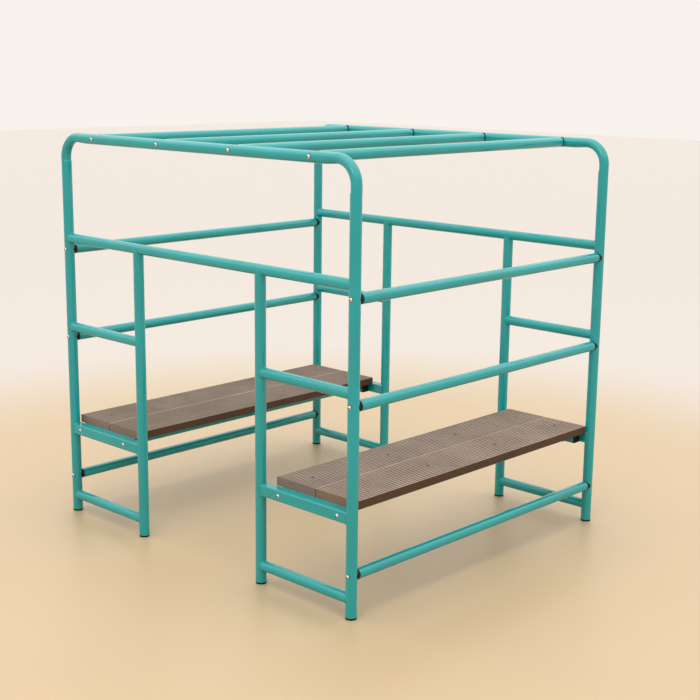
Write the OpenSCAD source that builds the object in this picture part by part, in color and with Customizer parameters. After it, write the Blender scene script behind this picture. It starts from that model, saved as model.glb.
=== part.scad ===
// Monkey bars for small children: two welded end frames joined by four
// overhead bars and six side rails, with a two-plank bench along each side.
// +X runs across an end frame, +Y along the bars and benches, +Z up.
// The origin is on the floor, at the middle of the footprint.

/* [Overall size] */
// Width of an end frame, over the outsides of its legs
frame_w = 1190; // [990:10:1500]
// Depth, over the outsides of the two end frames' legs
frame_d = 1068; // [888:4:1400]
// Height to the top of the hoops
frame_h = 1150; // [950:10:1400]

/* [Tubes] */
// Outside diameter of the hoops and short posts
post_d = 29.4; // [29:0.1:36]
// Outside diameter of the handrails, rungs, bars and side rails
rail_d = 28.4; // [22:0.1:28.6]
// Wall of the round tubes
tube_t = 1.6; // [1.2:0.1:2.4]
// Bend radius of a hoop's corners, to the tube's centre line
bend_r = 60; // [50:1:90]
// Outside width of the square tubes under the benches
box_s = 30; // [26:0.5:36]
// Wall of the square tubes
box_t = 1.6; // [1.2:0.1:2.4]
// Outside corner radius of the square tubes
box_corner_r = 3; // [2:0.5:4]
// Gap that stands for the weld line at a coped tube end
weld_gap = 0.05; // [0.02:0.01:0.1]

/* [End frames] */
// Distance from a leg to the short post beside it, between centre lines
bay_w = 330; // [320:1:380]
// Height of the handrail's centre line
handrail_z = 842; // [839:1:900]
// Height of the middle rungs' centre line
mid_rung_z = 576; // [575:1:640]
// Height of the lowest rungs' centre line
low_rung_z = 51; // [30:1:70]
// How far below the handrail's centre line the short posts end
cope_drop = 4; // [3:0.5:6]
// How far the bench beam's outer face stands out from the legs' centre line
beam_out = 12.5; // [11:0.1:13]
// Thickness of a foot's flange under the tube
foot_t = 5; // [3:0.5:8]
// Length of a foot's plug inside the tube
foot_plug_l = 18; // [10:1:30]
// Wall of a foot's hollow plug
foot_plug_t = 2.5; // [1.5:0.1:4]
// Bevel round the bottom of a foot
foot_bevel = 0.5; // [0.3:0.1:1.5]

/* [Bars and side rails] */
// Distance from a leg to the overhead bar nearest it, between centre lines
bar_in = 144.2; // [110:0.1:200]
// Height of the upper side rail's centre line
high_rail_z = 808; // [780:1:810]
// Height of the middle side rail's centre line
mid_rail_z = 545; // [500:1:546]
// Height of the lower side rail's centre line
low_rail_z = 113; // [100:1:200]
// Thickness of a saddle spacer at its thinnest, on the crown of the tube
saddle_crown = 4; // [1:0.1:8]
// Gap between a saddle spacer and the tube that it sits on
saddle_gap = 0.05; // [0.02:0.01:0.2]
// Length of the threaded insert in the end of a bar or rail
insert_l = 20; // [15:1:30]
// How far a bolt screws into a bar's or rail's insert
bolt_bite = 16.5; // [12:0.1:30]

/* [Benches] */
// Height of the benches' top surface
bench_top = 300; // [260:1:360]
// Distance from a leg's centre line to the middle of the bench beside it
bench_in = 146.7; // [143:0.1:155]
// Width of one plank
plank_w = 142; // [118:1:170]
// Thickness of one plank
plank_t = 23; // [18:0.5:30]
// Gap between the two planks of a bench
plank_gap = 2; // [1:0.5:4]
// Gap between a plank's end and the bench beam's inner face
plank_end_gap = 2; // [1:0.5:6]
// Radius of a plank's long edges
plank_edge_r = 2; // [1:0.5:4]
// Spacing of the grooves along the top of a plank
groove_pitch = 9.8; // [6:0.1:14]
// Width of one groove
groove_w = 4; // [2:0.5:5]
// Depth of one groove
groove_depth = 1.2; // [0.5:0.1:2]
// Least width left between the outer groove and a plank's edge
groove_border = 4; // [3:0.5:10]
// Width of a bench's underframe, over the end caps of its cross tubes
underframe_w = 244; // [238:1:260]
// Flange thickness of a square end cap
cap_t = 2.5; // [1.5:0.5:4]
// Length of a square end cap's plug inside the tube
cap_plug_l = 6; // [4:0.5:6]
// Wall of a square end cap's hollow plug
cap_plug_t = 2; // [1:0.5:3]

/* [Fasteners] */
// Diameter of the bolts
bolt_d = 6; // [5:1:8]
// Diameter of a bolt's domed head
bolt_head_d = 11.5; // [9:0.5:14]
// Height of a bolt's domed head
bolt_head_h = 3.6; // [2.5:0.1:4]
// Key size of the hexagon socket in a bolt's head
socket_af = 4; // [3:0.5:5]
// Depth of the hexagon socket
socket_depth = 1.8; // [1:0.1:2.2]
// How far a bench bolt's end stands past its weld nut
nut_thread_out = 3.2; // [1:0.1:12]
// Distance from a bench bolt to the end cap's outer face beside it
bench_bolt_in = 16; // [16:1:30]
// Width across the flats of the weld nuts in the cross tubes
nut_af = 10; // [9:0.5:13]
// Thickness of the weld nuts
nut_t = 5; // [4:0.5:7]
// Diameter of the plank screws
screw_d = 4.2; // [3.5:0.1:5]
// Diameter of a plank screw's countersunk head
screw_head_d = 8; // [7:0.5:10]
// Height of the countersunk head's cone
screw_head_h = 2.6; // [2:0.1:3.5]
// How far a plank screw's point reaches below the plank
screw_reach = 12.5; // [8:0.5:18]
// Length of a plank screw's point
screw_tip_l = 5; // [3:0.5:8]
// Diameter at the blunt end of a plank screw's point
screw_tip_d = 0.5; // [0.3:0.1:1]
// Distance from a plank's end to the screw nearest it
screw_in = 60.7; // [40:0.1:120]
// How far a screw's head lies below the plank's top
screw_sink = 0.5; // [0.2:0.1:1]

/* [Clearances] */
// Play round a bolt or screw in a plain hole, on each side
hole_gap = 0.3; // [0.2:0.05:0.6]
// Play round a bolt in a threaded hole, on each side
thread_gap = 0.1; // [0.05:0.01:0.2]
// Play round a plug or insert in its tube, on each side
plug_gap = 0.1; // [0.05:0.01:0.3]
// Coating gap between faces that are bolted together
seat_gap = 0.1; // [0.05:0.01:0.3]

/* [Hidden] */
$fn = 72;

TEAL = "#2f9c91";
PLANK_BROWN = "#86705f";
BLACK = "#1b1c1e";
STEEL = "#c4c6c8";
DARK_STEEL = "#5a5048";

// Centre lines of the legs, short posts and hoop tops
leg_x = (frame_w - post_d) / 2;
leg_y = (frame_d - post_d) / 2;
short_x = leg_x - bay_w;
top_z = frame_h - post_d / 2;

// Overhead bars and side rails
bar_pitch = 2 * (leg_x - bar_in) / 3;
bar_xs = [for (i = [-1.5:1:1.5]) i * bar_pitch];
rail_zs = [low_rail_z, mid_rail_z, high_rail_z];
rail_end_y = leg_y - post_d / 2 - saddle_crown;
rail_bolt_l = seat_gap + post_d + saddle_crown + bolt_bite;

// Benches, from the beam in the end frame to the planks
beam_top = bench_top - plank_t;
beam_z = beam_top - box_s / 2;
beam_y = leg_y + beam_out - box_s / 2;
beam_in_y = beam_y - box_s / 2;
cross_y = beam_in_y - seat_gap - box_s / 2;
runner_end_y = cross_y - box_s / 2 - weld_gap;
plank_end_y = beam_in_y - plank_end_gap;
plank_off = (plank_w + plank_gap) / 2;
bench_x = leg_x - bench_in;
bench_bolt_off = underframe_w / 2 - bench_bolt_in;
bench_bolt_xs = [for (k = [-1, 1]) bench_x + k * bench_bolt_off];
bench_bolt_l = 2 * seat_gap + box_s + box_t + nut_t + nut_thread_out;
screw_pitch = 2 * (plank_end_y - screw_in) / 3;
screw_ys = [for (i = [-1.5:1:1.5]) i * screw_pitch];
screw_l = plank_t - screw_sink + screw_reach;
head_top_z = bench_top - screw_sink;
groove_room = plank_w - groove_w - 2 * groove_border;
groove_count = floor(groove_room / groove_pitch) + 1;

// A size that reaches past a face, so that a cut is clean
past = 1;

// ---- placing ----

// Draws its children at end b (end = 1), or mirrored at end a (end = -1)
module at_end(end) {
    if (end > 0)
        children();
    else
        mirror([0, 1, 0]) children();
}

// Draws its children on the right (hand = 1), or mirrored on the left (-1)
module on_hand(hand) {
    if (hand > 0)
        children();
    else
        mirror([1, 0, 0]) children();
}

// Turns what stands along +Z to run along +X or +Y
module along_x() rotate([0, 90, 0]) children();
module along_y() rotate([-90, 0, 0]) children();

// ---- stock ----

// Round tube standing on the origin
module round_tube(d, l) {
    difference() {
        cylinder(d = d, h = l);
        translate([0, 0, -past])
            cylinder(d = d - 2 * tube_t, h = l + 2 * past);
    }
}

// Square with round corners, centred
module round_square(s, r) {
    flat = s - 2 * r;
    square([s, flat], center = true);
    square([flat, s], center = true);
    for (x = [-1, 1], y = [-1, 1])
        translate([x * flat / 2, y * flat / 2]) circle(r);
}

// Square tube standing on the origin, centred on the Z axis
module square_tube(l) {
    linear_extrude(l)
        difference() {
            round_square(box_s, box_corner_r);
            round_square(box_s - 2 * box_t, box_corner_r - box_t);
        }
}

// What a round upright takes out of the tubes welded to it, near height z
module upright_cut(x, z) {
    reach = box_s + 2 * past;
    translate([x, leg_y, z - reach / 2])
        cylinder(d = post_d + 2 * weld_gap, h = reach);
}

// Domed bolt along +Z, with the underside of its head on the origin
module domed_bolt(l) {
    r = bolt_head_d / 2;
    dome_r = (r * r + bolt_head_h * bolt_head_h) / (2 * bolt_head_h);
    translate([0, 0, -l]) cylinder(d = bolt_d, h = l);
    difference() {
        intersection() {
            translate([0, 0, bolt_head_h - dome_r]) sphere(dome_r);
            cylinder(r = r + past, h = bolt_head_h + past);
        }
        translate([0, 0, bolt_head_h - socket_depth])
            cylinder(d = socket_af / cos(30), h = bolt_head_h, $fn = 6);
    }
}

// ---- end frames ----

// Inverted U bent from one tube: two legs, two corners and the top
module hoop() {
    leg_l = top_z - bend_r - foot_t;
    top_l = 2 * (leg_x - bend_r);
    color(TEAL)
        difference() {
            union() {
                for (x = [-leg_x, leg_x])
                    translate([x, leg_y, foot_t]) round_tube(post_d, leg_l);
                for (hand = [-1, 1])
                    on_hand(hand)
                        translate([leg_x - bend_r, leg_y, top_z - bend_r])
                            hoop_corner();
                translate([-top_l / 2, leg_y, top_z])
                    along_x() round_tube(post_d, top_l);
            }
            for (x = bar_xs) translate([x, leg_y, top_z]) through_hole();
            for (x = [-leg_x, leg_x], z = rail_zs)
                translate([x, leg_y, z]) through_hole();
        }
}

// Quarter turn of the hoop's tube, from +X round to +Z
module hoop_corner() {
    rotate([90, 0, 0])
        rotate_extrude(angle = 90)
            translate([bend_r, 0])
                difference() {
                    circle(d = post_d);
                    circle(d = post_d - 2 * tube_t);
                }
}

// Bolt hole along Y through both walls of a tube
module through_hole() {
    translate([0, -post_d / 2 - past, 0])
        along_y() cylinder(d = bolt_d + 2 * hole_gap, h = post_d + 2 * past);
}

// Level tube from leg to leg
module handrail() {
    color(TEAL)
        difference() {
            translate([-leg_x, leg_y, handrail_z])
                along_x() round_tube(rail_d, 2 * leg_x);
            for (x = [-leg_x, leg_x]) upright_cut(x, handrail_z);
        }
}

// Upright from the floor to the underside of the handrail
module short_post() {
    color(TEAL)
        difference() {
            translate([short_x, leg_y, foot_t])
                round_tube(post_d, handrail_z - cope_drop - foot_t);
            translate([short_x - post_d, leg_y, handrail_z])
                along_x() cylinder(d = rail_d + 2 * weld_gap, h = 2 * post_d);
        }
}

// Round rung between the short post and the leg, at height z
module rung(z) {
    color(TEAL)
        difference() {
            translate([short_x, leg_y, z])
                along_x() round_tube(rail_d, bay_w);
            upright_cut(short_x, z);
            upright_cut(leg_x, z);
        }
}

// Square tube between the short post and the leg, which carries the bench
module bench_beam() {
    color(TEAL)
        difference() {
            translate([short_x, beam_y, beam_z])
                along_x() square_tube(bay_w);
            upright_cut(short_x, beam_z);
            upright_cut(leg_x, beam_z);
            for (x = bench_bolt_xs)
                translate([x, beam_in_y - past, beam_z])
                    along_y() cylinder(d = bolt_d + 2 * hole_gap, h = box_s + 2 * past);
        }
}

// ---- bars and side rails ----

// Tube between the two end frames
module overhead_bar(x) {
    color(TEAL)
        translate([x, -rail_end_y, top_z])
            along_y() round_tube(rail_d, 2 * rail_end_y);
}

module side_rail(z) {
    color(TEAL)
        translate([leg_x, -rail_end_y, z])
            along_y() round_tube(rail_d, 2 * rail_end_y);
}

// Spacer between a square-cut tube end and the round tube it is bolted to.
// It stands at a leg that is upright, with its tube coming from -Y.
module saddle() {
    color(BLACK)
        difference() {
            translate([0, -post_d / 2 - saddle_crown, 0])
                along_y() cylinder(d = rail_d, h = post_d / 2 + saddle_crown);
            translate([0, 0, -rail_d / 2 - past])
                cylinder(d = post_d + 2 * saddle_gap, h = rail_d + 2 * past);
            through_hole();
        }
}

// Threaded plug in a tube's end, which the bolt screws into
module threaded_insert() {
    color(STEEL)
        translate([0, rail_end_y - insert_l, 0])
            along_y()
                difference() {
                    cylinder(d = rail_d - 2 * tube_t - 2 * plug_gap, h = insert_l);
                    translate([0, 0, -past])
                        cylinder(d = bolt_d + 2 * thread_gap, h = insert_l + 2 * past);
                }
}

// Bolt through a leg or hoop top into the insert behind it
module rail_bolt() {
    color(STEEL)
        translate([0, leg_y + post_d / 2 + seat_gap, 0])
            along_y() domed_bolt(rail_bolt_l);
}

// Draws its children at the end of every side rail
module at_side_rail_ends() {
    for (end = [-1, 1], x = [-leg_x, leg_x], z = rail_zs)
        at_end(end) translate([x, 0, z]) children();
}

// Draws its children at the end of every overhead bar
module at_bar_ends() {
    for (end = [-1, 1], x = bar_xs)
        at_end(end) translate([x, 0, top_z]) children();
}

// ---- benches ----

// Cross-section of a plank: X across, Y up, grooves along the top
module plank_section() {
    r = plank_edge_r;
    difference() {
        union() {
            translate([-plank_w / 2, r]) square([plank_w, plank_t - 2 * r]);
            translate([-plank_w / 2 + r, 0]) square([plank_w - 2 * r, plank_t]);
            for (x = [-1, 1], y = [r, plank_t - r])
                translate([x * (plank_w / 2 - r), y]) circle(r);
        }
        for (i = [0:groove_count - 1])
            translate([(i - (groove_count - 1) / 2) * groove_pitch - groove_w / 2,
                       plank_t - groove_depth])
                square([groove_w, groove_depth + past]);
    }
}

// Plank along Y. off is its side of the bench's middle: 1 is outward.
module plank(off) {
    x = bench_x + off * plank_off;
    color(PLANK_BROWN)
        difference() {
            translate([x, plank_end_y, beam_top])
                rotate([90, 0, 0]) linear_extrude(2 * plank_end_y) plank_section();
            for (y = screw_ys) translate([x, y, 0]) screw_hole();
        }
}

// Countersunk hole for a plank screw
module screw_hole() {
    wide = screw_head_d + 2 * hole_gap;
    narrow = screw_d + 2 * hole_gap;
    translate([0, 0, beam_top - past]) cylinder(d = narrow, h = plank_t + past);
    translate([0, 0, head_top_z - screw_head_h])
        cylinder(d1 = narrow, d2 = wide, h = screw_head_h);
    translate([0, 0, head_top_z]) cylinder(d = wide, h = screw_sink + past);
}

// Tube under the planks' ends, bolted to the bench beam
module cross_tube() {
    tube_l = underframe_w - 2 * cap_t;
    color(TEAL)
        difference() {
            translate([bench_x - tube_l / 2, cross_y, beam_z])
                along_x() square_tube(tube_l);
            for (x = bench_bolt_xs)
                translate([x, cross_y, beam_z])
                    along_y() cylinder(d = bolt_d + 2 * hole_gap, h = box_s);
        }
}

// Tube under the middle line of a plank, which its screws bite into
module runner(off) {
    x = bench_x + off * plank_off;
    color(TEAL)
        difference() {
            translate([x, -runner_end_y, beam_z])
                along_y() square_tube(2 * runner_end_y);
            for (y = screw_ys)
                translate([x, y, beam_z])
                    cylinder(d = screw_d + 2 * thread_gap, h = box_s);
        }
}

// Nut welded behind a cross tube's bolt hole
module weld_nut() {
    back_y = cross_y + box_s / 2 - box_t;
    color(STEEL)
        translate([0, back_y - nut_t, beam_z])
            along_y()
                difference() {
                    cylinder(d = nut_af / cos(30), h = nut_t, $fn = 6);
                    translate([0, 0, -past])
                        cylinder(d = bolt_d + 2 * thread_gap, h = nut_t + 2 * past);
                }
}

// Bolt through the bench beam into the cross tube behind it
module bench_bolt() {
    color(STEEL)
        translate([0, leg_y + beam_out + seat_gap, beam_z])
            along_y() domed_bolt(bench_bolt_l);
}

// Countersunk screw down through a plank
module plank_screw() {
    body_l = screw_l - screw_head_h - screw_tip_l;
    color(DARK_STEEL)
        translate([0, 0, head_top_z - screw_l]) {
            cylinder(d1 = screw_tip_d, d2 = screw_d, h = screw_tip_l);
            translate([0, 0, screw_tip_l]) cylinder(d = screw_d, h = body_l);
            translate([0, 0, screw_tip_l + body_l])
                cylinder(d1 = screw_d, d2 = screw_head_d, h = screw_head_h);
        }
}

// Cap in the outer end of a cross tube: flange and hollow plug, along +X
module square_end_cap() {
    plug_s = box_s - 2 * box_t - 2 * plug_gap;
    color(BLACK)
        translate([underframe_w / 2 - cap_t, cross_y, beam_z])
            along_x() {
                linear_extrude(cap_t) round_square(box_s, box_corner_r);
                translate([0, 0, -cap_plug_l])
                    linear_extrude(cap_plug_l)
                        difference() {
                            square(plug_s, center = true);
                            square(plug_s - 2 * cap_plug_t, center = true);
                        }
            }
}

// ---- feet ----

// Flange under a leg, with a hollow plug up inside the tube
module foot() {
    plug_d = post_d - 2 * tube_t - 2 * plug_gap;
    color(BLACK) {
        cylinder(d1 = post_d - 2 * foot_bevel, d2 = post_d, h = foot_bevel);
        translate([0, 0, foot_bevel]) cylinder(d = post_d, h = foot_t - foot_bevel);
        difference() {
            translate([0, 0, foot_t - past]) cylinder(d = plug_d, h = foot_plug_l + past);
            translate([0, 0, foot_t])
                cylinder(d = plug_d - 2 * foot_plug_t, h = foot_plug_l + past);
        }
    }
}

// ---- groups of like pieces ----

module bar_saddles() {
    at_bar_ends() translate([0, leg_y, 0]) along_x() saddle();
}

module rail_saddles() {
    at_side_rail_ends() translate([0, leg_y, 0]) saddle();
}

module threaded_inserts() {
    at_bar_ends() threaded_insert();
    at_side_rail_ends() threaded_insert();
}

module rail_bolts() {
    at_bar_ends() rail_bolt();
    at_side_rail_ends() rail_bolt();
}

module bench_bolts() {
    for (end = [-1, 1], hand = [-1, 1], x = bench_bolt_xs)
        at_end(end) on_hand(hand) translate([x, 0, 0]) bench_bolt();
}

module weld_nuts() {
    for (end = [-1, 1], hand = [-1, 1], x = bench_bolt_xs)
        at_end(end) on_hand(hand) translate([x, 0, 0]) weld_nut();
}

module plank_screws() {
    for (hand = [-1, 1], off = [-1, 1], y = screw_ys)
        translate([hand * (bench_x + off * plank_off), y, 0]) plank_screw();
}

module square_end_caps() {
    for (end = [-1, 1], hand = [-1, 1], way = [-1, 1])
        at_end(end) on_hand(hand)
            translate([bench_x, 0, 0]) on_hand(way) square_end_cap();
}

module feet() {
    for (x = [-leg_x, -short_x, short_x, leg_x], y = [-leg_y, leg_y])
        translate([x, y, 0]) foot();
}

// ---- drawing ----

at_end(-1) hoop();  // end_a_hoop
at_end(-1) handrail();  // end_a_handrail
at_end(-1) on_hand(-1) short_post();  // end_a_short_post_left
at_end(-1) short_post();  // end_a_short_post_right
at_end(-1) on_hand(-1) rung(mid_rung_z);  // end_a_mid_rung_left
at_end(-1) rung(mid_rung_z);  // end_a_mid_rung_right
at_end(-1) on_hand(-1) rung(low_rung_z);  // end_a_low_rung_left
at_end(-1) rung(low_rung_z);  // end_a_low_rung_right
at_end(-1) on_hand(-1) bench_beam();  // end_a_bench_beam_left
at_end(-1) bench_beam();  // end_a_bench_beam_right
hoop();  // end_b_hoop
handrail();  // end_b_handrail
on_hand(-1) short_post();  // end_b_short_post_left
short_post();  // end_b_short_post_right
on_hand(-1) rung(mid_rung_z);  // end_b_mid_rung_left
rung(mid_rung_z);  // end_b_mid_rung_right
on_hand(-1) rung(low_rung_z);  // end_b_low_rung_left
rung(low_rung_z);  // end_b_low_rung_right
on_hand(-1) bench_beam();  // end_b_bench_beam_left
bench_beam();  // end_b_bench_beam_right
overhead_bar(bar_xs[0]);  // top_bar_1
overhead_bar(bar_xs[1]);  // top_bar_2
overhead_bar(bar_xs[2]);  // top_bar_3
overhead_bar(bar_xs[3]);  // top_bar_4
on_hand(-1) side_rail(high_rail_z);  // side_rail_left_high
on_hand(-1) side_rail(mid_rail_z);  // side_rail_left_mid
on_hand(-1) side_rail(low_rail_z);  // side_rail_left_low
side_rail(high_rail_z);  // side_rail_right_high
side_rail(mid_rail_z);  // side_rail_right_mid
side_rail(low_rail_z);  // side_rail_right_low
on_hand(-1) plank(1);  // plank_left_outer
on_hand(-1) plank(-1);  // plank_left_inner
plank(-1);  // plank_right_inner
plank(1);  // plank_right_outer
at_end(-1) on_hand(-1) cross_tube();  // cross_tube_left_a
on_hand(-1) cross_tube();  // cross_tube_left_b
at_end(-1) cross_tube();  // cross_tube_right_a
cross_tube();  // cross_tube_right_b
on_hand(-1) runner(1);  // runner_left_outer
on_hand(-1) runner(-1);  // runner_left_inner
runner(-1);  // runner_right_inner
runner(1);  // runner_right_outer
bar_saddles();
rail_saddles();
threaded_inserts();
rail_bolts();
bench_bolts();
weld_nuts();
plank_screws();
square_end_caps();
feet();
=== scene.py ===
import math
import random

import bpy
from mathutils import Matrix, Vector


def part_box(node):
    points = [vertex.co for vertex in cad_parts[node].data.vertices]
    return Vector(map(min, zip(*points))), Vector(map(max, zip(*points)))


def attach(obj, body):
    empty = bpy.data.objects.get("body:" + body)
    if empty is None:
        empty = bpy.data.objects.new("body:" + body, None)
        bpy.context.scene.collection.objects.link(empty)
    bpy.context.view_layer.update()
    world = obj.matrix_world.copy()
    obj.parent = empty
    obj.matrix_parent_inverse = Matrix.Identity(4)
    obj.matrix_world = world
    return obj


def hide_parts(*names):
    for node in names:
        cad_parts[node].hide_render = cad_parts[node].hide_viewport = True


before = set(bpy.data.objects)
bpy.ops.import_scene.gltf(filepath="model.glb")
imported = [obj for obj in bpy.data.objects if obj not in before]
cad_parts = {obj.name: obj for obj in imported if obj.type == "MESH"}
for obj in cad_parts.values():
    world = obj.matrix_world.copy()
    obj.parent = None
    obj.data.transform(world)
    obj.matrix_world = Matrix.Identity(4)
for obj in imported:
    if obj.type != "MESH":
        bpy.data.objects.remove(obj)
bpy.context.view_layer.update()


# Camera: stands off one corner of the frame at a grown-up's eye height, and
# looks down along the diagonal through a short telephoto lens.
EYE = (2.6972, -2.7685, 1.3554)
EYE_TURN, EYE_DOWN = math.radians(43.454), math.radians(12.236)
EYE_TILT = math.radians(0.669)
LENS_MM, SENSOR_MM = 68.114, 36
FAR_CLIP = 60
bpy.ops.object.camera_add(location=EYE)
camera = bpy.context.object
camera.rotation_euler = (
    Matrix.Rotation(EYE_TURN, 3, "Z")
    @ Matrix.Rotation(math.pi / 2 - EYE_DOWN, 3, "X")
    @ Matrix.Rotation(EYE_TILT, 3, "Z")
).to_euler()
camera.data.sensor_width = SENSOR_MM
camera.data.lens = LENS_MM
camera.data.dof.use_dof = False
camera.data.clip_end = FAR_CLIP
scene = bpy.context.scene
scene.camera = camera
scene.view_settings.view_transform = "Standard"


# Studio floor: one plain sheet of pale, warm board with a satin lacquer. It
# pales away from the frame, towards the studio's off-white walls.
FLOOR_SIZE = 40.0
FLOOR_WARM, FLOOR_PALE = "#b6a181", "#bdb7b2"
FLOOR_WARM_R, FLOOR_PALE_R = 1.35, 2.6
LACQUER_ROUGHNESS = 0.38


def linear(hex_colour):
    """An sRGB hex colour as linear red, green, blue and alpha."""
    parts = [int(hex_colour[i:i + 2], 16) / 255 for i in (1, 3, 5)]
    parts = [p / 12.92 if p <= 0.04045 else ((p + 0.055) / 1.055) ** 2.4 for p in parts]
    return parts + [1.0]


def add_node(tree, kind, sockets=None, **settings):
    """Adds a shader node. A socket takes a constant, or (node, output) as a link."""
    node = tree.nodes.new("ShaderNode" + kind)
    for name, value in settings.items():
        setattr(node, name, value)
    for name, value in (sockets or {}).items():
        socket = node.inputs[name]
        if isinstance(name, str):
            socket = next(s for s in node.inputs if s.name == name and s.enabled)
        if isinstance(value, tuple) and isinstance(value[0], bpy.types.Node):
            source, wanted = value
            output = next(o for o in source.outputs if o.name == wanted and o.enabled)
            tree.links.new(output, socket)
        else:
            socket.default_value = value
    return node


def blank_material(name):
    """A new material with an empty node tree."""
    material = bpy.data.materials.new(name)
    material.use_nodes = True
    material.node_tree.nodes.clear()
    return material, material.node_tree


def coat_with(obj, material):
    """Makes this the object's only material."""
    obj.data.materials.clear()
    obj.data.materials.append(material)


bpy.ops.object.select_all(action="DESELECT")
bpy.ops.mesh.primitive_plane_add(size=FLOOR_SIZE, location=(0, 0, 0))
floor = bpy.context.object
floor.name = "studio_floor"
board, tree = blank_material("lacquered_pale_board")
place = add_node(tree, "TexCoord")
reach = add_node(tree, "VectorMath", {0: (place, "Object")}, operation="LENGTH")
fade = add_node(tree, "MapRange", {
    "Value": (reach, "Value"), "From Min": FLOOR_WARM_R, "From Max": FLOOR_PALE_R},
    interpolation_type="SMOOTHSTEP")
tone = add_node(tree, "Mix", {
    "Factor": (fade, "Result"), "A": linear(FLOOR_WARM), "B": linear(FLOOR_PALE)},
    data_type="RGBA")
lacquer = add_node(tree, "BsdfPrincipled", {
    "Base Color": (tone, "Result"), "Roughness": LACQUER_ROUGHNESS})
add_node(tree, "OutputMaterial", {"Surface": (lacquer, "BSDF")})
coat_with(floor, board)


# Studio light: off-white walls all round and a brighter ceiling, one wide soft
# box over the frame and a small bright one high beside the camera.
WALL_COLOUR = "#f8f3ed"
WALL_GLOW, CEILING_GLOW = 1.0, 1.9
WALL_TOP, CEILING_EDGE = 0.3, 0.5
LAMP_COLOUR = "#fffaf2"
# Each has its name, its place, the point that it is turned to, its size and its power
SOFT_BOXES = [
    ("ceiling_soft_box", (0.5, -0.4, 3.4), (0, 0, 0.4), 3.2, 18.0),
    ("front_soft_box", (1.8, -4.2, 3.6), (0.2, -0.3, 0.9), 1.6, 20.0),
]
world = bpy.data.worlds.new("studio_walls")
world.use_nodes = True
scene.world = world
tree = world.node_tree
tree.nodes.clear()
sight = add_node(tree, "TexCoord")
height = add_node(tree, "SeparateXYZ", {"Vector": (sight, "Generated")})
glow = add_node(tree, "MapRange", {
    "Value": (height, "Z"), "From Min": WALL_TOP, "From Max": CEILING_EDGE,
    "To Min": WALL_GLOW, "To Max": CEILING_GLOW}, interpolation_type="SMOOTHSTEP")
walls = add_node(tree, "Background", {
    "Color": linear(WALL_COLOUR), "Strength": (glow, "Result")})
add_node(tree, "OutputWorld", {"Surface": (walls, "Background")})
for name, where, aim, size, power in SOFT_BOXES:
    bpy.ops.object.light_add(type="AREA", location=where)
    lamp = bpy.context.object
    lamp.name = name
    lamp.data.shape = "DISK"
    lamp.data.size = size
    lamp.data.energy = power
    lamp.data.color = linear(LAMP_COLOUR)[:3]
    lamp.rotation_euler = (Vector(aim) - Vector(where)).to_track_quat("-Z", "Y").to_euler()


# Powder coat: the hoops, posts, rungs, bars, rails, beams and underframes are
# cold-drawn tube, welded up and then powder coated turquoise green, glossy with
# a fine orange peel.
COAT_GREEN, COAT_THIN = "#069497", "#088e8f"
PEEL_PITCH, PEEL_HEIGHT = 0.0026, 0.00002
CLOUD_PITCH = 0.18
RUB_SCALE = 22.0
COAT_IOR = 1.55
COAT_GLOSSY, COAT_RUBBED = 0.08, 0.13


def powder_coat(name):
    """Baked powder: a hard, wet-looking gloss over a colour that hardly varies."""
    material, tree = blank_material(name)
    place = add_node(tree, "TexCoord")
    # Slow drift of colour where the powder lies thicker or thinner
    cloud = add_node(tree, "TexNoise", {
        "Vector": (place, "Object"), "Scale": 1 / CLOUD_PITCH, "Detail": 2.0})
    thickness = add_node(tree, "MapRange", {
        "Value": (cloud, "Fac"), "From Min": 0.35, "From Max": 0.65})
    colour = add_node(tree, "Mix", {
        "Factor": (thickness, "Result"), "A": linear(COAT_THIN), "B": linear(COAT_GREEN)},
        data_type="RGBA")
    # Orange peel: ripples a few millimetres across and hundredths high
    peel = add_node(tree, "TexNoise", {
        "Vector": (place, "Object"), "Scale": 1 / PEEL_PITCH, "Detail": 1.0})
    bump = add_node(tree, "Bump", {
        "Strength": 0.5, "Distance": PEEL_HEIGHT, "Height": (peel, "Fac")})
    # Rubbed and dusty patches are a little less glossy
    rub = add_node(tree, "TexNoise", {
        "Vector": (place, "Object"), "Scale": RUB_SCALE, "Detail": 5.0, "Roughness": 0.6})
    gloss = add_node(tree, "MapRange", {
        "Value": (rub, "Fac"), "From Min": 0.3, "From Max": 0.7,
        "To Min": COAT_GLOSSY, "To Max": COAT_RUBBED})
    paint = add_node(tree, "BsdfPrincipled", {
        "Base Color": (colour, "Result"), "Roughness": (gloss, "Result"),
        "IOR": COAT_IOR, "Normal": (bump, "Normal")})
    add_node(tree, "OutputMaterial", {"Surface": (paint, "BSDF")})
    return material


green_coat = powder_coat("powder_coated_steel")
for name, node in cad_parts.items():
    if name.startswith(("end_", "top_bar", "side_rail", "cross_tube", "runner")):
        coat_with(node, green_coat)


# Hoops: each is one length of round steel tube, press-bent at both corners. The
# press flattens the inner side of the bend and its die leaves a step on each
# leg; the bolts, drawn up tight, dish the wall round their heads.
TUBE_WALL = 0.0016
TUBE_SIDES = 48
BEND_R = 0.060
BEND_STEPS = 20
BEND_TURN = -math.pi / 2
BEND_PRESS = 0.92
DIE_EDGE, DIE_EASE = 0.006, 0.045
LEFT_DIE_RUN, RIGHT_DIE_RUN = 0.004, 0.014
EASE_SHARES = (0.1, 0.3, 0.5, 0.7, 0.9, 1.0)
DISH_R, DISH_DEPTH = 0.0108, 0.0022
DISH_STEPS = 12
MERGE_REACH = 0.00001
SMOOTH_ANGLE = math.radians(40)


def extrude_run(way, marks, start, finish):
    """Extrudes the tube straight on, with short steps past every bolt."""
    stops = [mark + DISH_R * (2 * k / DISH_STEPS - 1)
             for mark in marks for k in range(DISH_STEPS + 1)]
    stops = sorted(stops, reverse=finish < start) + [finish]
    for stop in stops:
        bpy.ops.mesh.extrude_region_move(
            TRANSFORM_OT_translate={"value": tuple(way * (stop - start))})
        start = stop


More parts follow.
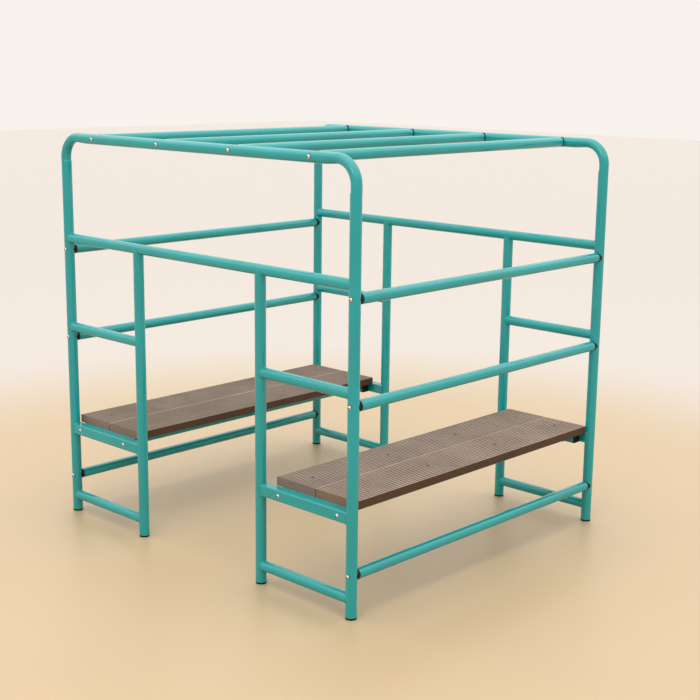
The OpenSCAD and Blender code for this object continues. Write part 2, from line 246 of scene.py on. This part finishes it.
def press(way, wall, axis, before, after, length):
    """Extrudes the run over which the press's die comes on or goes off."""
    done = before
    for share in EASE_SHARES:
        bpy.ops.mesh.extrude_region_move(
            TRANSFORM_OT_translate={"value": tuple(way * length / len(EASE_SHARES))})
        wanted = before + (after - before) * share
        squeeze = [1.0, 1.0, 1.0]
        squeeze[axis] = wanted / done
        bpy.ops.transform.resize(value=tuple(squeeze), center_override=wall)
        done = wanted


def bend_hoop(name, cad_name, outward, bar_xs, rail_zs):
    """One hoop, drawn from its left foot to its right; outward is its end of Y."""
    low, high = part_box(cad_name)
    y = (low.y + high.y) / 2
    radius = (high.y - low.y) / 2
    leg_x = high.x - radius
    top_z = high.z - radius
    bend_z = top_z - BEND_R
    bend_x = leg_x - BEND_R
    up, across = Vector((0, 0, 1)), Vector((1, 0, 0))
    bpy.ops.object.select_all(action="DESELECT")
    bpy.ops.mesh.primitive_circle_add(
        vertices=TUBE_SIDES, radius=radius, location=(-leg_x, y, low.z))
    hoop = bpy.context.object
    hoop.name = name
    bpy.ops.object.transform_apply(location=True, rotation=True, scale=True)
    bpy.ops.object.mode_set(mode="EDIT")
    bpy.ops.mesh.select_all(action="SELECT")
    extrude_run(up, rail_zs, low.z, bend_z - LEFT_DIE_RUN - DIE_EDGE)
    press(up, (-high.x, y, bend_z), 0, 1.0, BEND_PRESS, DIE_EDGE)
    extrude_run(up, [], bend_z - LEFT_DIE_RUN, bend_z)
    bpy.ops.mesh.spin(
        steps=BEND_STEPS, angle=BEND_TURN, axis=(0, 1, 0), center=(-bend_x, y, bend_z))
    press(across, (0, y, high.z), 2, BEND_PRESS, 1.0, DIE_EASE)
    extrude_run(across, bar_xs, -bend_x + DIE_EASE, bend_x - DIE_EASE)
    press(across, (0, y, high.z), 2, 1.0, BEND_PRESS, DIE_EASE)
    bpy.ops.mesh.spin(
        steps=BEND_STEPS, angle=BEND_TURN, axis=(0, 1, 0), center=(bend_x, y, bend_z))
    extrude_run(up, [], bend_z, bend_z - RIGHT_DIE_RUN)
    press(-up, (high.x, y, bend_z), 0, BEND_PRESS, 1.0, DIE_EDGE)
    extrude_run(up, rail_zs, bend_z - RIGHT_DIE_RUN - DIE_EDGE, low.z)
    bpy.ops.mesh.select_all(action="SELECT")
    bpy.ops.mesh.remove_doubles(threshold=MERGE_REACH)
    bpy.ops.mesh.normals_make_consistent(inside=False)
    bpy.ops.object.mode_set(mode="OBJECT")
    bolts = [(x, top_z) for x in bar_xs]
    bolts += [(side * leg_x, z) for side in (-1, 1) for z in rail_zs]
    for vertex in hoop.data.vertices:
        for x, z in bolts:
            away = math.hypot(vertex.co.x - x, vertex.co.z - z)
            if away < DISH_R and outward * (vertex.co.y - y) > 0:
                share = (1 + math.cos(math.pi * away / DISH_R)) / 2
                vertex.co.y -= outward * DISH_DEPTH * share
    wall = hoop.modifiers.new("wall", "SOLIDIFY")
    wall.thickness = TUBE_WALL
    wall.offset = -1
    bpy.ops.object.modifier_apply(modifier=wall.name)
    bpy.ops.object.shade_smooth_by_angle(angle=SMOOTH_ANGLE)
    coat_with(hoop, green_coat)
    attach(hoop, "root")
    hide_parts(cad_name)


def middle(name):
    """The middle of a piece's box."""
    low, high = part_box(name)
    return (low + high) / 2


bar_xs = [middle("top_bar_%d" % i).x for i in (1, 2, 3, 4)]
rail_zs = [middle("side_rail_left_" + level).z for level in ("low", "mid", "high")]
for end, outward in (("end_a", -1), ("end_b", 1)):
    bend_hoop(end + "_bent_hoop", end + "_hoop", outward, bar_xs, rail_zs)


# Weld beads: the coped ends of the rungs, handrails, short posts and beams are
# MIG welded all round, and the runners under the benches on three sides. Each
# bead is a low rounded fillet with fine ripples, under the same coat.
BEAD_R = 0.0021
BEAD_SINK = 0.0005
BEAD_POINTS = 72
RIPPLE = 0.09
# A bead draws in a little where it passes the sides of the tube's end
DRAW_IN = 0.962
BOX_CORNER_R = 0.003
ripples = random.Random(11)


def lay_bead(name, path, closed=True):
    """Runs a rounded bead of weld along a path of points."""
    bpy.ops.object.select_all(action="DESELECT")
    bpy.ops.mesh.primitive_circle_add(vertices=len(path), radius=BEAD_R)
    bead = bpy.context.object
    bead.name = name
    for vertex, place in zip(bead.data.vertices, path):
        vertex.co = place
    if not closed:
        last = {0, len(path) - 1}
        for vertex in bead.data.vertices:
            vertex.select = vertex.index in last
        for edge in bead.data.edges:
            edge.select = set(edge.vertices) == last
        bpy.ops.object.mode_set(mode="EDIT")
        bpy.ops.mesh.delete(type="EDGE_FACE")
        bpy.ops.object.mode_set(mode="OBJECT")
    bpy.ops.object.convert(target="CURVE")
    line = bpy.context.object.data
    line.bevel_depth = BEAD_R
    line.bevel_resolution = 2
    line.use_fill_caps = True
    for i, point in enumerate(line.splines[0].points):
        ripple = RIPPLE if i % 2 else -RIPPLE
        point.radius = 1 + ripple * ripples.uniform(0.5, 1.0)
    bpy.ops.object.convert(target="MESH")
    bead = bpy.context.object
    bpy.ops.object.shade_smooth()
    coat_with(bead, green_coat)
    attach(bead, "root")


def round_turns(count):
    """Evenly spaced angles, once round."""
    return [2 * math.pi * i / count for i in range(count)]


def half_size(name):
    """Half the size of a piece's box along each axis."""
    low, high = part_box(name)
    return (high - low) / 2


post_r = half_size("end_a_short_post_left").x
rail_r = half_size("top_bar_1").x
box_half = half_size("end_a_bench_beam_left").z
leg_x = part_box("end_a_hoop")[1].x - post_r


def round_tube_bead(name, post_x, post_y, rail_z, way):
    """Where a level tube meets an upright; way is 1 if it leaves towards +X, or -1."""
    path = []
    for t in round_turns(BEAD_POINTS):
        y = DRAW_IN * (rail_r - BEAD_SINK) * math.cos(t)
        x = math.sqrt(post_r ** 2 - y ** 2) - BEAD_SINK / 2
        path.append((post_x + way * x, post_y + y, rail_z + (rail_r - BEAD_SINK) * math.sin(t)))
    lay_bead(name, path)


def post_top_bead(name, post_x, post_y, rail_z):
    """Where a short post's coped top meets the handrail over it."""
    cope_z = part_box("end_a_short_post_left")[1].z
    path = []
    for t in round_turns(BEAD_POINTS):
        y = DRAW_IN * (post_r - BEAD_SINK) * math.cos(t)
        drop = math.sqrt(max(0.0, rail_r ** 2 - y ** 2))
        z = min(cope_z, rail_z - drop) + BEAD_SINK / 2
        path.append((post_x + (post_r - BEAD_SINK) * math.sin(t), post_y + y, z))
    lay_bead(name, path)


def square_outline(half, corner, count):
    """Points round a square with round corners, from the middle of one side."""
    points = []
    for t in round_turns(count):
        across, up = math.cos(t), math.sin(t)
        reach = half / max(abs(across), abs(up))
        a, b = across * reach, up * reach
        flat = half - corner
        if abs(a) > flat and abs(b) > flat:
            turn = math.atan2(abs(b) - flat, abs(a) - flat)
            a = math.copysign(flat + corner * math.cos(turn), a)
            b = math.copysign(flat + corner * math.sin(turn), b)
        points.append((a, b))
    return points


def beam_bead(name, beam, post_x, post_y, way):
    """Where a square beam's end is notched round an upright."""
    path = []
    for across, up in square_outline(box_half - BEAD_SINK, BOX_CORNER_R, BEAD_POINTS):
        off = beam.y + across - post_y
        x = math.sqrt(max(0.0, post_r ** 2 - off ** 2))
        path.append((post_x + way * x, beam.y + across, beam.z + up))
    lay_bead(name, path)


def runner_bead(name, runner, face_y):
    """Three sides of a runner's end, where it butts against a cross tube."""
    outline = square_outline(box_half, BOX_CORNER_R, BEAD_POINTS)
    lower = sorted((p for p in outline if p[1] < box_half - BOX_CORNER_R),
                   key=lambda p: math.atan2(-p[0], -p[1]))
    lay_bead(name, [(runner.x + a, face_y, runner.z + b) for a, b in lower], closed=False)


for end in ("end_a", "end_b"):
    y = middle(end + "_handrail").y
    rail_z = middle(end + "_handrail").z
    for side, hand in (("left", -1), ("right", 1)):
        post_x = middle("%s_short_post_%s" % (end, side)).x
        round_tube_bead("%s_weld_handrail_%s" % (end, side), hand * leg_x, y, rail_z, -hand)
        post_top_bead("%s_weld_post_top_%s" % (end, side), post_x, y, rail_z)
        for level in ("mid", "low"):
            z = middle("%s_%s_rung_%s" % (end, level, side)).z
            weld = "%s_weld_%s_rung_%s" % (end, level, side)
            round_tube_bead(weld + "_outer", hand * leg_x, y, z, -hand)
            round_tube_bead(weld + "_inner", post_x, y, z, hand)
        beam = middle("%s_bench_beam_%s" % (end, side))
        beam_bead("%s_weld_beam_%s_outer" % (end, side), beam, hand * leg_x, y, -hand)
        beam_bead("%s_weld_beam_%s_inner" % (end, side), beam, post_x, y, hand)
for place in ("left_outer", "left_inner", "right_inner", "right_outer"):
    low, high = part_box("runner_" + place)
    for end, face_y in (("a", low.y), ("b", high.y)):
        runner_bead("runner_weld_%s_%s" % (place, end), (low + high) / 2, face_y)


# Planks: extruded wood-plastic composite, ribbed along the top, brushed there
# and left with the die's dark skin on the sides; the ends are sawn.
# Painted shade: the dark colour that the groove floors are shaded towards
GROOVE_PAINTED_SHADE = "#514237"
GROOVE_DEPTH = 0.0012
RIB_TOP_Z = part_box("plank_right_outer")[1].z
GROOVE_FLOOR_Z = RIB_TOP_Z - GROOVE_DEPTH
SKIN_TOP_Z = GROOVE_FLOOR_Z - 0.0002
# Painted highlight along the joint edge: its strength, width, fade and pale colour
JOINT_SHEEN, JOINT_SHEEN_W, JOINT_SHEEN_FADE, JOINT_SHEEN_PALE = 0.55, 0.003, 0.001, "#ad9b88"
FIBRE_SCALE, FLOUR_SCALE, BATCH_SCALE = (700.0, 14.0, 700.0), 520.0, 9.0
SHADE_LEAST, SHADE_MOST = 0.72, 1.22
FACING = 0.7
MATT_ROUGHNESS = 0.72
BRUSHED_HEIGHT = 0.00025


def composite(name, rib, side, sawn, joint_x):
    """Brown wood-plastic: dry and matt, with fibres brushed up along the ribs."""
    material, tree = blank_material(name)
    place = add_node(tree, "TexCoord")
    facing = add_node(tree, "NewGeometry")
    # Brushed fibres: streaks about a millimetre wide that run along the plank
    along = add_node(tree, "Mapping", {
        "Vector": (place, "Object"), "Scale": FIBRE_SCALE})
    fibre = add_node(tree, "TexNoise", {
        "Vector": (along, "Vector"), "Scale": 1.0, "Detail": 3.0, "Roughness": 0.6})
    # Wood flour: pale and dark grains about two millimetres across
    grain = add_node(tree, "TexNoise", {
        "Vector": (place, "Object"), "Scale": FLOUR_SCALE, "Detail": 3.0, "Roughness": 0.7})
    batch = add_node(tree, "TexNoise", {
        "Vector": (place, "Object"), "Scale": BATCH_SCALE, "Detail": 2.0})
    streaks = add_node(tree, "Math", {0: (fibre, "Fac"), 1: (grain, "Fac")}, operation="ADD")
    streaks = add_node(tree, "Math", {0: (streaks, "Value"), 1: (batch, "Fac")}, operation="ADD")
    shade = add_node(tree, "MapRange", {
        "Value": (streaks, "Value"), "From Min": 1.1, "From Max": 1.9,
        "To Min": SHADE_LEAST, "To Max": SHADE_MOST})
    # Painted shade in the grooves: the colour darkens with depth, 0 on a groove's floor, 1 on a
    # rib's top
    split = add_node(tree, "SeparateXYZ", {"Vector": (place, "Object")})
    depth = add_node(tree, "MapRange", {
        "Value": (split, "Z"), "From Min": GROOVE_FLOOR_Z, "From Max": RIB_TOP_Z})
    top = add_node(tree, "Mix", {
        "Factor": (depth, "Result"), "A": linear(GROOVE_PAINTED_SHADE), "B": linear(rib)},
        data_type="RGBA")
    # Painted highlight: a pale band along the long edge beside the other plank
    # stands in for the sheen on its rounded edge
    from_joint = add_node(tree, "Math", {0: (split, "X"), 1: joint_x}, operation="SUBTRACT")
    from_joint = add_node(tree, "Math", {0: (from_joint, "Value")}, operation="ABSOLUTE")
    joint_sheen = add_node(tree, "MapRange", {
        "Value": (from_joint, "Value"), "From Min": JOINT_SHEEN_W, "From Max": JOINT_SHEEN_W + JOINT_SHEEN_FADE,
        "To Min": JOINT_SHEEN, "To Max": 0.0})
    top = add_node(tree, "Mix", {
        "Factor": (joint_sheen, "Result"), "A": (top, "Result"), "B": linear(JOINT_SHEEN_PALE)},
        data_type="RGBA")
    # Which way the face looks: X is a long side, Y is a sawn end
    normal = add_node(tree, "SeparateXYZ", {"Vector": (facing, "True Normal")})
    off_x = add_node(tree, "Math", {0: (normal, "X")}, operation="ABSOLUTE")
    on_side = add_node(tree, "Math", {0: (off_x, "Value"), 1: FACING}, operation="GREATER_THAN")
    low = add_node(tree, "Math", {0: (split, "Z"), 1: SKIN_TOP_Z}, operation="LESS_THAN")
    skin = add_node(tree, "Math", {0: (on_side, "Value"), 1: (low, "Value")}, operation="MULTIPLY")
    sided = add_node(tree, "Mix", {
        "Factor": (skin, "Value"), "A": (top, "Result"), "B": linear(side)}, data_type="RGBA")
    off_y = add_node(tree, "Math", {0: (normal, "Y")}, operation="ABSOLUTE")
    on_end = add_node(tree, "Math", {0: (off_y, "Value"), 1: FACING}, operation="GREATER_THAN")
    ended = add_node(tree, "Mix", {
        "Factor": (on_end, "Value"), "A": (sided, "Result"), "B": linear(sawn)}, data_type="RGBA")
    colour = add_node(tree, "VectorMath", {
        0: (ended, "Result"), "Scale": (shade, "Result")}, operation="SCALE")
    bump = add_node(tree, "Bump", {
        "Strength": 0.6, "Distance": BRUSHED_HEIGHT, "Height": (streaks, "Value")})
    matt = add_node(tree, "BsdfPrincipled", {
        "Base Color": (colour, "Vector"), "Roughness": MATT_ROUGHNESS, "Normal": (bump, "Normal")})
    add_node(tree, "OutputMaterial", {"Surface": (matt, "BSDF")})
    return material


for name, rib, side, sawn in (
    ("plank_left_outer", "#807165", "#462a10", "#7c695e"),
    ("plank_left_inner", "#7f7064", "#442810", "#806858"),
    ("plank_right_inner", "#88796d", "#462a10", "#79695f"),
    ("plank_right_outer", "#938174", "#45290f", "#7c644e"),
):
    bench = name.replace("_outer", "").replace("_inner", "")
    joint_x = (middle(bench + "_outer").x + middle(bench + "_inner").x) / 2
    grooved = composite("composite_" + name, rib, side, sawn, joint_x)
    coat_with(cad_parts[name], grooved)


# Spacers, caps and feet: injection-moulded black polypropylene with a fine
# spark-eroded texture, satin and soft-looking, which hardly mirrors anything.
SPARK_SCALE, SPARK_HEIGHT = 1800.0, 0.00004
WORN_SCALE = 90.0
PLASTIC_BLACK, PLASTIC_WORN = "#0b0b0c", "#161617"
black_plastic, tree = blank_material("moulded_black_plastic")
place = add_node(tree, "TexCoord")
spark = add_node(tree, "TexNoise", {
    "Vector": (place, "Object"), "Scale": SPARK_SCALE, "Detail": 2.0})
worn = add_node(tree, "TexNoise", {
    "Vector": (place, "Object"), "Scale": WORN_SCALE, "Detail": 3.0})
tint = add_node(tree, "Mix", {
    "Factor": (worn, "Fac"), "A": linear(PLASTIC_BLACK), "B": linear(PLASTIC_WORN)},
    data_type="RGBA")
bump = add_node(tree, "Bump", {
    "Strength": 0.5, "Distance": SPARK_HEIGHT, "Height": (spark, "Fac")})
satin = add_node(tree, "BsdfPrincipled", {
    "Base Color": (tint, "Result"), "Roughness": 0.5, "Specular IOR Level": 0.2,
    "Normal": (bump, "Normal")})
add_node(tree, "OutputMaterial", {"Surface": (satin, "BSDF")})
for name in ("bar_saddles", "rail_saddles", "square_end_caps", "feet"):
    coat_with(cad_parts[name], black_plastic)


# Bolts, inserts, nuts and screws: cold-headed stainless bolts, zinc-plated
# turned inserts and nuts, and hardened screws with a bronze coating. Painted
# shade darkens the sockets and the rims of the heads.
# Painted shade in the sockets and round the head rims: its reach, range and dark colour
NOOK_REACH = 0.004
NOOK_SHUT, NOOK_OPEN = 0.35, 0.85
PAINTED_NOOK_SHADE = "#1d1b19"
MOTTLE_HEIGHT = 0.00002


def fastener_metal(name, dull, bright, low, high, pitch):
    """A drawn or turned metal, mottled by its finish, with painted shade in its nooks."""
    material, tree = blank_material(name)
    place = add_node(tree, "TexCoord")
    mottle = add_node(tree, "TexNoise", {
        "Vector": (place, "Object"), "Scale": 1 / pitch, "Detail": 4.0})
    tint = add_node(tree, "Mix", {
        "Factor": (mottle, "Fac"), "A": linear(dull), "B": linear(bright)}, data_type="RGBA")
    # Painted shade: ambient occlusion darkens the sockets and the rims of the heads
    nook = add_node(tree, "AmbientOcclusion", {"Distance": NOOK_REACH}, samples=8)
    open_face = add_node(tree, "MapRange", {
        "Value": (nook, "AO"), "From Min": NOOK_SHUT, "From Max": NOOK_OPEN})
    nook_shaded = add_node(tree, "Mix", {
        "Factor": (open_face, "Result"), "A": linear(PAINTED_NOOK_SHADE), "B": (tint, "Result")},
        data_type="RGBA")
    gloss = add_node(tree, "MapRange", {
        "Value": (mottle, "Fac"), "From Min": 0.3, "From Max": 0.7,
        "To Min": low, "To Max": high})
    bump = add_node(tree, "Bump", {
        "Strength": 0.3, "Distance": MOTTLE_HEIGHT, "Height": (mottle, "Fac")})
    metal = add_node(tree, "BsdfPrincipled", {
        "Base Color": (nook_shaded, "Result"), "Metallic": 1.0, "Roughness": (gloss, "Result"),
        "Normal": (bump, "Normal")})
    add_node(tree, "OutputMaterial", {"Surface": (metal, "BSDF")})
    return material


stainless = fastener_metal("cold_headed_stainless", "#b2b0ac", "#cfccc8", 0.1, 0.2, 0.0012)
zinc = fastener_metal("zinc_plated_steel", "#9da1a6", "#c3c6c8", 0.3, 0.5, 0.002)
bronze = fastener_metal("bronze_coated_steel", "#1c1612", "#30261d", 0.35, 0.5, 0.0015)
for name, metal in (("rail_bolts", stainless), ("bench_bolts", stainless),
                    ("threaded_inserts", zinc), ("weld_nuts", zinc), ("plank_screws", bronze)):
    coat_with(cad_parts[name], metal)
